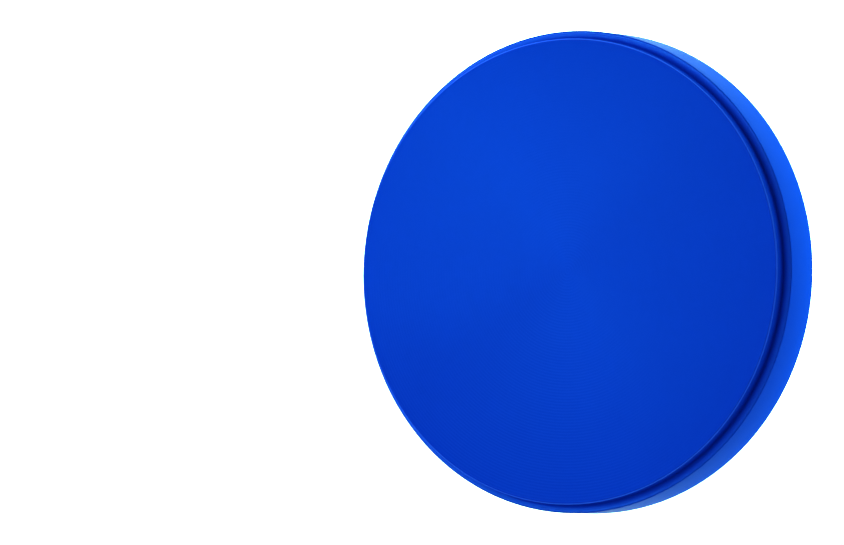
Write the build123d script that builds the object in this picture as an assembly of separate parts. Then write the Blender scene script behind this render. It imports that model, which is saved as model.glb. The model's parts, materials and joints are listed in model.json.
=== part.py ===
"""Dental milling disc: a round blank of hard casting wax, turned in one piece.

A clamping rim runs round the middle of the blank's thickness. On each side of it a slightly
smaller land stands proud, and its flat end is a working face. The disc lies on its lower
working face: the origin is that face's centre, and +Z is the turning axis.
"""

import os

from build123d import *

# Driving dimensions, in millimetres
RIM_DIAMETER = 98.5
RIM_THICKNESS = 10.0
LAND_DIAMETER = 95.0
DISC_THICKNESS = 16.0

# Corners of the section, in millimetres
ROOT_FILLET_RADIUS = 0.4
LAND_EDGE_RADIUS = 0.4
RIM_EDGE_RADIUS = 0.3

# Both lands stand out of the rim by the same height.
LAND_HEIGHT = (DISC_THICKNESS - RIM_THICKNESS) / 2


def half_section():
    """Return half of the disc's section, from the turning axis out to the rim."""
    from_the_axis = (Align.MIN, Align.MIN)
    with BuildSketch(Plane.XZ) as section:
        Rectangle(LAND_DIAMETER / 2, DISC_THICKNESS, align=from_the_axis)
        with Locations((0, LAND_HEIGHT)):
            Rectangle(RIM_DIAMETER / 2, RIM_THICKNESS, align=from_the_axis)
        axis_ends, land_corners, rim_corners = section.vertices().group_by(Axis.X)
        lower_edge, lower_root, upper_root, upper_edge = land_corners.sort_by(Axis.Y)
        fillet([lower_root, upper_root], radius=ROOT_FILLET_RADIUS)
        fillet([lower_edge, upper_edge], radius=LAND_EDGE_RADIUS)
        fillet(rim_corners, radius=RIM_EDGE_RADIUS)
    return section.sketch


def milling_disc():
    """Turn the half section about the disc's axis into one solid."""
    return revolve(half_section(), axis=Axis.Z)


def main():
    """Write the disc to its STEP file."""
    os.makedirs("parts", exist_ok=True)
    export_step(milling_disc(), "parts/milling_disc.step")


main()
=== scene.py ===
import json
import math
from typing import NamedTuple

import bmesh
import bpy
from bpy.props import FloatProperty, FloatVectorProperty, IntProperty, PointerProperty
from mathutils import Euler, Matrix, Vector


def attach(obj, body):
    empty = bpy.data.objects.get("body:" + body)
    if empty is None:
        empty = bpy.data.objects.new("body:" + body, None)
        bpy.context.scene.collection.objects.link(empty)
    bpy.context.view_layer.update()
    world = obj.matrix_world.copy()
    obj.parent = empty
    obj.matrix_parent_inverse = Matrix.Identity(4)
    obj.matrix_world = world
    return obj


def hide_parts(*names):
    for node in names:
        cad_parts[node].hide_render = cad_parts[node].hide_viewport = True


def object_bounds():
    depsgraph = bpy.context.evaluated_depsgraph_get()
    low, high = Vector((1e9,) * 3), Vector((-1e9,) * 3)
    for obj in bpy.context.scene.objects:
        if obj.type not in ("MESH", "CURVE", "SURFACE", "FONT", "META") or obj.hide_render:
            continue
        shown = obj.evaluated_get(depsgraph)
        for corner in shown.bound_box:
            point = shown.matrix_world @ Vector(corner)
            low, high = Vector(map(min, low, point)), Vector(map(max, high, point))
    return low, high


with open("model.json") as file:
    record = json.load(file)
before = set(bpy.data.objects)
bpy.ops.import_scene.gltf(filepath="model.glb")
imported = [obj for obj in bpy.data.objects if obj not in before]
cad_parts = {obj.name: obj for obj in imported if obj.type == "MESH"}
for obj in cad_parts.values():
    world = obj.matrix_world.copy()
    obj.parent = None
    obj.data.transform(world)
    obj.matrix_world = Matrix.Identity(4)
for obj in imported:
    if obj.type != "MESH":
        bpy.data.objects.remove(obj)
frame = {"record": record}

bl_info = {
    "name": "Dental Milling Disc",
    "version": (1, 0, 0),
    "blender": (4, 5, 0),
    "location": "View3D > Sidebar > Milling Disc",
    "description": "Turns a stepped disc of blue casting wax and lays it in a pale studio",
    "category": "Add Mesh",
}

NODE = "milling_disc"
BODY = "root"
SLOT = "blue_wax"
PIECE = "wax_disc"
MM = 0.001

# Mesh of the disc. A mark's four points are a flank, its groove, a flank and a ridge.
POLE_RADIUS = 0.001 * MM
POINTS_PER_MARK = 4

# Surface of the wax
COLOUR_DRIFT = 0.02
CLOUD_SIZE = 18 * MM
CLOUD_DETAIL = 3.0
GRAIN_SIZE = 0.4 * MM
GRAIN_DETAIL = 2.0
ROUGHNESS_DRIFT = 0.02
QUARTER_TURN = 0.25
WAX_IOR = 1.45
REFLECTION_TINT = (0.2, 0.75, 1.0, 1.0)
# Width of the painted highlight along the edges of the working faces
EDGE_HIGHLIGHT_INNER = 0.17 * MM
EDGE_HIGHLIGHT_OUTER = 0.32 * MM
# Spread of the painted light across the shoulders
SHOULDER_FADE_INNER = 0.2 * MM
SHOULDER_FADE_OUTER = 1.4 * MM
SHOULDER_SKIN = 0.15 * MM

# Stage. Lengths are in metres, and the sensor's width is in millimetres.
FLOOR_RADIUS = 6.0
FLOOR_SEGMENTS = 64
FLOOR_GRAIN = 2 * MM
FLOOR_SMOOTHEST = 0.8
FLOOR_ROUGHEST = 1.0
SENSOR_WIDTH = 36.0
CLIP_NEAR = 0.05
CLIP_FAR = 20.0
GLOW_CENTRE = (2 * MM, 12 * MM, 0.0)
GLOW_COLOUR = (1.1, 2.3, 1.2)
GLOW_INNER = 50 * MM
GLOW_OUTER = 86 * MM


class Lamp(NamedTuple):
    """A square lamp: its direction and distance from the upper face's centre, and its width.

    A lamp that isn't mirrored lights the wax but doesn't show in its sheen. One that isn't
    shading shows only in the sheen.
    """

    azimuth: float
    elevation: float
    distance: float = 0.9
    width: float = 0.4
    mirrored: bool = True
    shading: bool = True


KEY_LAMP = Lamp(math.radians(135), math.radians(25))
FILL_LAMP = Lamp(math.radians(225), math.radians(50), mirrored=False)
TOP_LAMP = Lamp(0.0, math.radians(90), mirrored=False)
SIDE_LAMP = Lamp(math.radians(170), math.radians(60), width=0.2, mirrored=False)
SHEEN_LAMP = Lamp(math.radians(170), math.radians(60), distance=0.25, width=0.05, shading=False)
WHITE = (1.0, 1.0, 1.0)
WARM_WHITE = (1.0, 1.0, 0.35)

MOUNTS = {mount["name"]: mount for mount in frame["record"]["mounts"]}
CAD_LOW, CAD_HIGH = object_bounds()


def mount_radius(name):
    """Return a round mount's radius in metres."""
    return MOUNTS[name]["dims"]["r_mm"] * MM


def mount_height(name):
    """Return a mount's height above the lower working face in metres."""
    return MOUNTS[name]["pos_m"][2]


# Settings


class DiscSizes(bpy.types.PropertyGroup):
    """Sizes of the turned disc; the large ones follow the frame."""

    rim_radius: FloatProperty(
        name="Rim radius",
        description="Radius of the clamping rim",
        default=mount_radius("clamping_rim"),
        unit="LENGTH",
    )
    land_radius: FloatProperty(
        name="Land radius",
        description="Radius of the raised working faces",
        default=mount_radius("upper_land"),
        unit="LENGTH",
    )
    thickness: FloatProperty(
        name="Thickness",
        description="Height over both working faces",
        default=CAD_HIGH.z - CAD_LOW.z,
        unit="LENGTH",
    )
    lower_shoulder: FloatProperty(
        name="Lower shoulder",
        description="Height of the shoulder under the rim",
        default=mount_height("lower_shoulder"),
        unit="LENGTH",
    )
    upper_shoulder: FloatProperty(
        name="Upper shoulder",
        description="Height of the shoulder on top of the rim",
        default=mount_height("upper_shoulder"),
        unit="LENGTH",
    )
    root_fillet: FloatProperty(
        name="Root fillet",
        description="Radius of the inside corner where a land meets its shoulder",
        default=0.4 * MM,
        unit="LENGTH",
    )
    land_edge: FloatProperty(
        name="Land edge",
        description="Radius that breaks the outer edge of each working face",
        default=0.4 * MM,
        unit="LENGTH",
    )
    rim_edge: FloatProperty(
        name="Rim edge",
        description="Radius that breaks both edges of the clamping rim",
        default=0.3 * MM,
        unit="LENGTH",
    )
    arc_steps: IntProperty(
        name="Arc steps",
        description="Segments across each rounded corner of the section",
        default=6,
        min=2,
    )
    turn_steps: IntProperty(
        name="Turn steps",
        description="Segments round the disc",
        default=120,
        min=24,
    )
    ring_pitch: FloatProperty(
        name="Ring pitch",
        description="Distance from one turning mark to the next, which is the lathe's feed",
        default=0.6 * MM,
        unit="LENGTH",
    )
    ring_depth: FloatProperty(
        name="Ring depth",
        description="Depth of the turning marks",
        default=0.02 * MM,
        unit="LENGTH",
    )


class WaxFinish(bpy.types.PropertyGroup):
    """Colour and gloss of the wax."""

    colour: FloatVectorProperty(
        name="Wax",
        description="Colour of the wax",
        default=(0.0012, 0.0285, 0.5),
        subtype="COLOR",
        min=0.0,
        max=1.0,
    )
    # Painted highlight: paler colour along the edges of the working faces
    edge_highlight_colour: FloatVectorProperty(
        name="Painted edge highlight",
        description="Paler colour along the edges of the working faces, painted as a highlight",
        default=(0.018, 0.12, 0.97),
        subtype="COLOR",
        min=0.0,
        max=1.0,
    )
    # Painted light: the shoulders are painted paler towards the rim
    shoulder_light_colour: FloatVectorProperty(
        name="Painted shoulder light",
        description="Paler colour painted as light on the shoulders towards the rim",
        default=(0.006, 0.066, 0.68),
        subtype="COLOR",
        min=0.0,
        max=1.0,
    )
    roughness: FloatProperty(
        name="Roughness",
        description="Roughness of the turned surface",
        default=0.24,
        subtype="FACTOR",
    )
    gloss: FloatProperty(
        name="Gloss",
        description="Strength of reflections",
        default=0.001,
        subtype="FACTOR",
    )
    blue_sheen: FloatProperty(
        name="Blue sheen",
        description="Share of the surface that reflects in the wax's own blue",
        default=0.07,
        subtype="FACTOR",
    )
    groove_stretch: FloatProperty(
        name="Groove stretch",
        description="How far the fine grooves stretch a reflection across themselves",
        default=0.88,
        subtype="FACTOR",
    )


class StageSettings(bpy.types.PropertyGroup):
    """Camera, lights and floor."""

    view_tilt: FloatProperty(
        name="View tilt",
        description="Turn of the camera about the floor's Y axis, away from straight down",
        default=math.radians(28.41),
        subtype="ANGLE",
    )
    view_pitch: FloatProperty(
        name="View pitch",
        description="Turn of the camera about its own horizontal axis",
        default=math.radians(2.11),
        subtype="ANGLE",
    )
    view_distance: FloatProperty(
        name="View distance",
        description="Distance from the lens to the upper working face, along the line of sight",
        default=1.7965,
        unit="LENGTH",
    )
    face_right: FloatProperty(
        name="Face to the right",
        description="How far the face's centre lies to the right of the line of sight",
        default=29.6 * MM,
        unit="LENGTH",
    )
    face_up: FloatProperty(
        name="Face above",
        description="How far the face's centre lies above the line of sight",
        default=0.24 * MM,
        unit="LENGTH",
    )
    lens: FloatProperty(
        name="Focal length",
        description="Focal length in millimetres on a sensor 36 mm wide",
        default=376.5,
    )
    floor_colour: FloatVectorProperty(
        name="Floor",
        description="Colour of the floor",
        default=(0.9, 0.9, 0.9),
        subtype="COLOR",
        min=0.0,
        max=1.0,
    )
    key_power: FloatProperty(
        name="Key light",
        description="Power of the large low light on the upper left",
        default=5.2,
        unit="POWER",
    )
    fill_power: FloatProperty(
        name="Fill light",
        description="Power of the large light on the lower left",
        default=1.5,
        unit="POWER",
    )
    top_power: FloatProperty(
        name="Top light",
        description="Power of the large light straight above",
        default=3.4,
        unit="POWER",
    )
    side_power: FloatProperty(
        name="Side light",
        description="Power of the light high on the left",
        default=1.2,
        unit="POWER",
    )
    sheen_power: FloatProperty(
        name="Sheen light",
        description="Power of the small near light whose reflection fans out over the turned face",
        default=0.31,
        unit="POWER",
    )
    glow_near: FloatProperty(
        name="Glow at the disc",
        description="Light that the floor gives off close to the disc, as a light table does",
        default=2.9,
    )
    glow_far: FloatProperty(
        name="Glow away from the disc",
        description="Light that the rest of the floor gives off",
        default=0.42,
    )
    sky_strength: FloatProperty(
        name="Room light",
        description="Strength of the even light from all round",
        default=0.02,
    )


# The disc


def draw_profile(bm, sizes):
    """Draw the half section's outer line from pole to pole, with its corners still sharp."""
    corners = (
        (0.0, 0.0),
        (sizes.land_radius, 0.0),
        (sizes.land_radius, sizes.lower_shoulder),
        (sizes.rim_radius, sizes.lower_shoulder),
        (sizes.rim_radius, sizes.upper_shoulder),
        (sizes.land_radius, sizes.upper_shoulder),
        (sizes.land_radius, sizes.thickness),
        (0.0, sizes.thickness),
    )
    verts = [bm.verts.new((radius, 0.0, height)) for radius, height in corners]
    for start, end in zip(verts, verts[1:]):
        bm.edges.new((start, end))
    return verts


def round_corners(bm, corners, radius, steps):
    """Turn sharp corners of the profile into arcs of one radius."""
    bmesh.ops.bevel(
        bm,
        geom=corners,
        offset=radius,
        offset_type="OFFSET",
        segments=steps,
        profile=0.5,
        affect="VERTICES",
        material=-1,
    )


def cut_turning_marks(bm, run, sizes):
    """Divide a straight run of the profile into ridges and sink the grooves between them."""
    start, end = (vert.co.copy() for vert in run.verts)
    upright = abs(end.z - start.z) > abs(end.x - start.x)
    if upright:
        inward = Vector((-1.0, 0.0, 0.0))
    elif start.z > sizes.thickness / 2:
        inward = Vector((0.0, 0.0, -1.0))
    else:
        inward = Vector((0.0, 0.0, 1.0))
    marks = max(1, round((end - start).length / sizes.ring_pitch))
    made = bmesh.ops.subdivide_edges(bm, edges=[run], cuts=POINTS_PER_MARK * marks - 1)
    added = [item for item in made["geom_inner"] if isinstance(item, bmesh.types.BMVert)]
    added.sort(key=lambda vert: (vert.co - start).length)
    flanks, grooves = added[0::2], added[1::POINTS_PER_MARK]
    bmesh.ops.translate(bm, verts=flanks, vec=inward * sizes.ring_depth / 2)
    bmesh.ops.translate(bm, verts=grooves, vec=inward * sizes.ring_depth)


def turn_disc(sizes):
    """Turn the profile about the disc's axis into a closed mesh."""
    bm = bmesh.new()
    verts = draw_profile(bm, sizes)
    lower_edge, lower_root, rim_bottom, rim_top, upper_root, upper_edge = verts[1:-1]
    round_corners(bm, [lower_edge, upper_edge], sizes.land_edge, sizes.arc_steps)
    round_corners(bm, [lower_root, upper_root], sizes.root_fillet, sizes.arc_steps)
    round_corners(bm, [rim_bottom, rim_top], sizes.rim_edge, sizes.arc_steps)
    straight_runs = [edge for edge in bm.edges if edge.calc_length() > sizes.ring_pitch]
    for run in straight_runs:
        cut_turning_marks(bm, run, sizes)
    bmesh.ops.spin(
        bm,
        geom=bm.verts[:] + bm.edges[:],
        cent=(0.0, 0.0, 0.0),
        axis=(0.0, 0.0, 1.0),
        angle=2 * math.pi,
        steps=sizes.turn_steps,
        use_merge=True,
    )
    poles = [vert for vert in bm.verts if vert.co.xy.length < POLE_RADIUS]
    bmesh.ops.remove_doubles(bm, verts=poles, dist=POLE_RADIUS)
    bmesh.ops.recalc_face_normals(bm, faces=bm.faces[:])
    mesh = bpy.data.meshes.new(PIECE)
    bm.to_mesh(mesh)
    bm.free()
    mesh.shade_smooth()
    return mesh


# Materials


def new_material(name):
    """Return a material with only its main shader, and that shader."""
    material = bpy.data.materials.new(name)
    material.use_nodes = True
    return material, material.node_tree.nodes["Principled BSDF"]


def clouds(tree, coordinates, size, detail):
    """Add soft noise whose patches are about as large as the given size in metres."""
    noise = tree.nodes.new("ShaderNodeTexNoise")
    noise.inputs["Scale"].default_value = 1 / size
    noise.inputs["Detail"].default_value = detail
    tree.links.new(coordinates, noise.inputs["Vector"])
    return noise.outputs["Fac"]


def map_range(tree, value, low, high):
    """Spread a value from 0 to 1 over a new range."""
    spread = tree.nodes.new("ShaderNodeMapRange")
    spread.inputs["To Min"].default_value = low
    spread.inputs["To Max"].default_value = high
    tree.links.new(value, spread.inputs["Value"])
    return spread.outputs["Result"]


def vector_math(tree, operation, vector, other=(0.0, 0.0, 0.0)):
    """Add a vector operation between a socket and a fixed vector."""
    node = tree.nodes.new("ShaderNodeVectorMath")
    node.operation = operation
    node.inputs[1].default_value = other
    tree.links.new(vector, node.inputs[0])
    return node


def smooth_fade(tree, value, inner, outer, near, far):
    """Fade smoothly from the near value, up to the inner limit, to the far one past the outer."""
    fade = tree.nodes.new("ShaderNodeMapRange")
    fade.interpolation_type = "SMOOTHSTEP"
    fade.inputs["From Min"].default_value = inner
    fade.inputs["From Max"].default_value = outer
    fade.inputs["To Min"].default_value = near
    fade.inputs["To Max"].default_value = far
    tree.links.new(value, fade.inputs["Value"])
    return fade.outputs["Result"]


def section_of(tree, place, middle):
    """Return each point's distance from the axis and its height above or below mid-thickness."""
    flat = vector_math(tree, "MULTIPLY", place, (1.0, 1.0, 0.0))
    radius = vector_math(tree, "LENGTH", flat.outputs["Vector"])
    centred = vector_math(tree, "SUBTRACT", place, (0.0, 0.0, middle))
    folded = vector_math(tree, "ABSOLUTE", centred.outputs["Vector"])
    height = tree.nodes.new("ShaderNodeSeparateXYZ")
    tree.links.new(folded.outputs["Vector"], height.inputs["Vector"])
    return radius.outputs["Value"], height.outputs["Z"]


def edge_highlight_mask(tree, radius, height, sizes):
    """Return the mask of the painted edge highlight: 1 at the outer edges of both working faces
    and 0 a little away from them.
    """
    section = tree.nodes.new("ShaderNodeCombineXYZ")
    tree.links.new(radius, section.inputs["X"])
    tree.links.new(height, section.inputs["Z"])
    corner = (sizes.land_radius, 0.0, sizes.thickness / 2)
    distance = vector_math(tree, "DISTANCE", section.outputs["Vector"], corner)
    return smooth_fade(tree, distance.outputs["Value"], EDGE_HIGHLIGHT_INNER, EDGE_HIGHLIGHT_OUTER, 1.0, 0.0)


def shoulder_light_mask(tree, radius, height, sizes):
    """Return the mask of the painted shoulder light: a value that grows from 0 to 1 across both
    shoulders and is 0 deeper in the rim.
    """
    root = sizes.land_radius + SHOULDER_FADE_INNER
    outer = sizes.land_radius + SHOULDER_FADE_OUTER
    shoulder = sizes.upper_shoulder - sizes.thickness / 2
    across = smooth_fade(tree, radius, root, outer, 0.0, 1.0)
    skin = smooth_fade(tree, height, shoulder - SHOULDER_SKIN, shoulder, 0.0, 1.0)
    both = tree.nodes.new("ShaderNodeMath")
    both.operation = "MULTIPLY"
    tree.links.new(across, both.inputs[0])
    tree.links.new(skin, both.inputs[1])
    return both.outputs["Value"]


def mix_colours(tree, factor, first, second):
    """Mix two colours, each a fixed colour or a socket."""
    mix = tree.nodes.new("ShaderNodeMix")
    mix.data_type = "RGBA"
    tree.links.new(factor, mix.inputs["Factor"])
    for socket, colour in ((mix.inputs["A"], first), (mix.inputs["B"], second)):
        if isinstance(colour, bpy.types.NodeSocket):
            tree.links.new(colour, socket)
        else:
            socket.default_value = (*colour, 1.0)
    return mix.outputs["Result"]


def wax_material(finish, sizes):
    """Satin blue wax whose fine grooves run round the disc's axis, with a painted highlight along
    the edges of its working faces and painted light on its shoulders.
    """
    material, shader = new_material(SLOT)
    tree = material.node_tree
    links = tree.links
    place = tree.nodes.new("ShaderNodeTexCoord").outputs["Object"]

    darker = [part * (1 - COLOUR_DRIFT) for part in finish.colour]
    lighter = [part * (1 + COLOUR_DRIFT) for part in finish.colour]
    wax = mix_colours(tree, clouds(tree, place, CLOUD_SIZE, CLOUD_DETAIL), darker, lighter)
    radius, height = section_of(tree, place, sizes.thickness / 2)
    # Painted light: paler colour across the shoulders towards the rim
    shoulders = shoulder_light_mask(tree, radius, height, sizes)
    wax = mix_colours(tree, shoulders, wax, finish.shoulder_light_colour)
    # Painted highlight: paler colour along the edges of the working faces
    edges = edge_highlight_mask(tree, radius, height, sizes)
    links.new(mix_colours(tree, edges, wax, finish.edge_highlight_colour), shader.inputs["Base Color"])

    gloss = clouds(tree, place, GRAIN_SIZE, GRAIN_DETAIL)
    low, high = finish.roughness - ROUGHNESS_DRIFT, finish.roughness + ROUGHNESS_DRIFT
    links.new(map_range(tree, gloss, low, high), shader.inputs["Roughness"])

    direction = tree.nodes.new("ShaderNodeTangent")
    direction.direction_type = "RADIAL"
    direction.axis = "Z"
    links.new(direction.outputs["Tangent"], shader.inputs["Tangent"])
    shader.inputs["Anisotropic"].default_value = finish.groove_stretch
    shader.inputs["Anisotropic Rotation"].default_value = QUARTER_TURN
    shader.inputs["IOR"].default_value = WAX_IOR
    shader.inputs["Specular IOR Level"].default_value = finish.gloss
    shader.inputs["Specular Tint"].default_value = REFLECTION_TINT
    shader.inputs["Metallic"].default_value = finish.blue_sheen
    return material


def floor_material(stage):
    """Matt pale light table whose tinted glow round the disc fades to a weaker white one."""
    material, shader = new_material("pale_floor")
    tree = material.node_tree
    place = tree.nodes.new("ShaderNodeTexCoord").outputs["Object"]
    shader.inputs["Base Color"].default_value = (*stage.floor_colour, 1.0)
    shader.inputs["Specular IOR Level"].default_value = 0.0
    distance = vector_math(tree, "DISTANCE", place, GLOW_CENTRE).outputs["Value"]
    away = smooth_fade(tree, distance, GLOW_INNER, GLOW_OUTER, 0.0, 1.0)
    glow_colour = mix_colours(tree, away, GLOW_COLOUR, WHITE)
    tree.links.new(glow_colour, shader.inputs["Emission Color"])
    glow = map_range(tree, away, stage.glow_near, stage.glow_far)
    tree.links.new(glow, shader.inputs["Emission Strength"])
    grain = clouds(tree, place, FLOOR_GRAIN, GRAIN_DETAIL)
    roughness = map_range(tree, grain, FLOOR_SMOOTHEST, FLOOR_ROUGHEST)
    tree.links.new(roughness, shader.inputs["Roughness"])
    return material


# Stage


def add_to_scene(name, data):
    """Put new data into the scene as an object."""
    item = bpy.data.objects.new(name, data)
    bpy.context.scene.collection.objects.link(item)
    return item


def add_floor(stage):
    """Lay a wide flat floor under the disc."""
    bm = bmesh.new()
    bmesh.ops.create_circle(bm, cap_ends=True, radius=FLOOR_RADIUS, segments=FLOOR_SEGMENTS)
    mesh = bpy.data.meshes.new("floor")
    bm.to_mesh(mesh)
    bm.free()
    mesh.materials.append(floor_material(stage))
    floor = add_to_scene("floor", mesh)


def add_soft_light(name, lamp, colour, power, face):
    """Hang a square soft light that faces the middle of the upper face."""
    light = bpy.data.lights.new(name, "AREA")
    light.shape = "SQUARE"
    light.size = lamp.width
    light.energy = power
    light.color = colour
    holder = add_to_scene(name, light)
    outward = Euler((0.0, -lamp.elevation, lamp.azimuth)).to_matrix() @ Vector((1.0, 0.0, 0.0))
    holder.location = face + lamp.distance * outward
    holder.rotation_euler = outward.to_track_quat("Z", "Y").to_euler()
    holder.visible_camera = False
    holder.visible_glossy = lamp.mirrored
    holder.visible_diffuse = lamp.shading


def add_room_light(strength):
    """Light the scene evenly from all round."""
    world = bpy.data.worlds.new("studio")
    bpy.context.scene.world = world
    world.use_nodes = True
    background = world.node_tree.nodes["Background"]
    background.inputs["Color"].default_value = (*WHITE, 1.0)
    background.inputs["Strength"].default_value = strength


def add_camera(stage, face):
    """Set up the camera so that the middle of the upper face stands where the settings say."""
    camera = bpy.data.cameras.new("camera")
    camera.sensor_fit = "HORIZONTAL"
    camera.sensor_width = SENSOR_WIDTH
    camera.lens = stage.lens
    camera.clip_start = CLIP_NEAR
    camera.clip_end = CLIP_FAR
    holder = add_to_scene("camera", camera)
    turn = Euler((stage.view_pitch, stage.view_tilt, 0.0))
    face_seen = Vector((stage.face_right, stage.face_up, -stage.view_distance))
    holder.rotation_euler = turn
    holder.location = face - turn.to_matrix() @ face_seen
    bpy.context.scene.camera = holder


# Operators


class MESH_OT_milling_disc_add(bpy.types.Operator):
    """Turn the stepped wax disc and put it in place of the plain one"""

    bl_idname = "mesh.milling_disc_add"
    bl_label = "Add Wax Disc"
    bl_options = {"REGISTER", "UNDO"}

    def execute(self, context):
        sizes = context.scene.disc_sizes
        disc = add_to_scene(PIECE, turn_disc(sizes))
        disc.data.materials.append(wax_material(context.scene.wax_finish, sizes))
        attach(disc, BODY)
        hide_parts(NODE)
        return {"FINISHED"}


class SCENE_OT_milling_stage_add(bpy.types.Operator):
    """Lay the floor, hang the lights and set up the camera"""

    bl_idname = "scene.milling_stage_add"
    bl_label = "Add Stage"
    bl_options = {"REGISTER", "UNDO"}

    def execute(self, context):
        stage = context.scene.milling_stage
        face = Vector((0.0, 0.0, context.scene.disc_sizes.thickness))
        add_floor(stage)
        add_room_light(stage.sky_strength)
        add_soft_light("key_light", KEY_LAMP, WHITE, stage.key_power, face)
        add_soft_light("fill_light", FILL_LAMP, WHITE, stage.fill_power, face)
        add_soft_light("top_light", TOP_LAMP, WHITE, stage.top_power, face)
        add_soft_light("side_light", SIDE_LAMP, WHITE, stage.side_power, face)
        add_soft_light("sheen_light", SHEEN_LAMP, WARM_WHITE, stage.sheen_power, face)
        add_camera(stage, face)
        context.scene.view_settings.view_transform = "Standard"
        return {"FINISHED"}


class VIEW3D_PT_milling_disc(bpy.types.Panel):
    """Sidebar panel that lists the disc, its finish and its stage"""

    bl_idname = "VIEW3D_PT_milling_disc"
    bl_label = "Milling Disc"
    bl_space_type = "VIEW_3D"
    bl_region_type = "UI"
    bl_category = "Milling Disc"

    def draw(self, context):
        scene = context.scene
        steps = (
            (MESH_OT_milling_disc_add, (scene.disc_sizes, scene.wax_finish)),
            (SCENE_OT_milling_stage_add, (scene.milling_stage,)),
        )
        for operator, groups in steps:
            box = self.layout.box()
            box.operator(operator.bl_idname)
            for group in groups:
                for name in group.__annotations__:
                    box.prop(group, name)


GROUPS = {
    "disc_sizes": DiscSizes,
    "wax_finish": WaxFinish,
    "milling_stage": StageSettings,
}
CLASSES = (
    *GROUPS.values(),
    MESH_OT_milling_disc_add,
    SCENE_OT_milling_stage_add,
    VIEW3D_PT_milling_disc,
)


def register():
    """Register every class and hang the settings on the scene."""
    for cls in CLASSES:
        bpy.utils.register_class(cls)
    for name, group in GROUPS.items():
        setattr(bpy.types.Scene, name, PointerProperty(type=group))


def unregister():
    """Undo register."""
    for name in GROUPS:
        delattr(bpy.types.Scene, name)
    for cls in reversed(CLASSES):
        bpy.utils.unregister_class(cls)


def main():
    """Build the disc and its stage."""
    register()
    bpy.ops.mesh.milling_disc_add()
    bpy.ops.scene.milling_stage_add()


if __name__ == "__main__":
    main()
